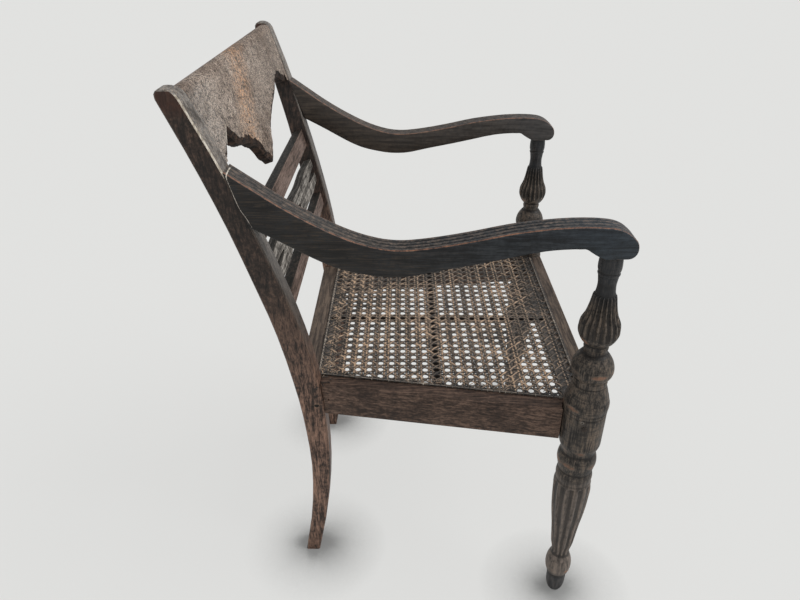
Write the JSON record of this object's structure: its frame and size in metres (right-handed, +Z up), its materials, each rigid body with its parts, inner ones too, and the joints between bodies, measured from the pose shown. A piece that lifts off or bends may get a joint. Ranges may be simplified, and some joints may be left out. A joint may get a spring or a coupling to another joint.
{
  "type": "cane seat armchair",
  "caption": "Hardwood armchair with a woven cane seat, raked sabre back legs, turned and reeded front legs, scrolled arms and a shaped crest board with its lower edge broken away.",
  "frame": {"origin": "on the floor under the middle of the chair's box", "axes": "+Z up, -Y towards the sitter's front, -X towards the sitter's right hand"},
  "size_m": [0.6344, 0.599, 0.883],
  "materials": {
    "stile_wood": "weathered dark hardwood, dry, worn at the edges",
    "turned_wood": "turned dark hardwood with brown wear on the rings",
    "seat_rail_wood": "weathered brown hardwood with open grain",
    "arm_wood": "near black patina, polished by hands, reddish worn reeds",
    "crest_wood": "grey brown hardwood speckled with pale dry patches",
    "back_rail_wood": "dry brown hardwood",
    "splat_wood": "weathered grey hardwood with softened edges",
    "batten_wood": "rough dark hardwood",
    "cane": "woven cane, aged tan and grey brown",
    "cane_binder": "flat binder cane, aged orange tan",
    "peg_wood": "end grain of round hardwood pegs"
  },
  "bodies": {
    "root": {"rear_leg_right": "stile_wood", "rear_leg_left": "stile_wood", "front_leg_right": "turned_wood", "front_leg_left": "turned_wood", "side_rail_right": "seat_rail_wood", "side_rail_left": "seat_rail_wood", "front_rail": "seat_rail_wood", "rear_rail": "seat_rail_wood", "arm_right": "arm_wood", "arm_left": "arm_wood", "crest_board": "crest_wood", "upper_back_rail": "back_rail_wood", "lower_back_rail": "back_rail_wood", "pierced_splat": "splat_wood", "batten_lengthwise": "batten_wood", "batten_crosswise": "batten_wood", "cane_seat": "cane", "cane_binder_front": "cane_binder", "cane_binder_rear": "cane_binder", "cane_binder_right": "cane_binder", "cane_binder_left": "cane_binder", "front_side_peg_right": "peg_wood", "front_side_peg_left": "peg_wood", "front_peg_right": "peg_wood", "front_peg_left": "peg_wood", "rear_side_peg_right": "peg_wood", "rear_side_peg_left": "peg_wood", "rear_peg_right": "peg_wood", "rear_peg_left": "peg_wood"}
  },
  "joints": []
}
